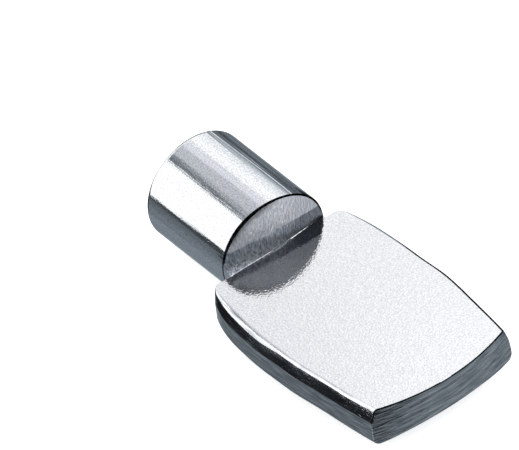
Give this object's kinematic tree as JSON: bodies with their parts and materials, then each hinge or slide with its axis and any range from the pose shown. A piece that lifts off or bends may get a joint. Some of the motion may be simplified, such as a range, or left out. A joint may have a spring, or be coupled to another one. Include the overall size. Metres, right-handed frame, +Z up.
{
  "type": "shelf support pin",
  "caption": "Spoon shelf support pin: a round shank for a bored hole, with a half-round step and a flat, bowed paddle that carries the shelf.",
  "frame": {"origin": "on the shank's axis, in the plane where the paddle's shoulders seat against the cabinet side", "axes": "+X from the shank along the paddle to its tip, +Y across the paddle, +Z up out of the flat top that carries the shelf"},
  "size_m": [0.0213, 0.0106, 0.0064],
  "materials": {
    "nickel_plate": "bright nickel plate on coined steel, polished on the shank and the flat top, with fine die marks on the step and the tip"
  },
  "bodies": {
    "root": {"shelf_pin": "nickel_plate"}
  },
  "joints": []
}
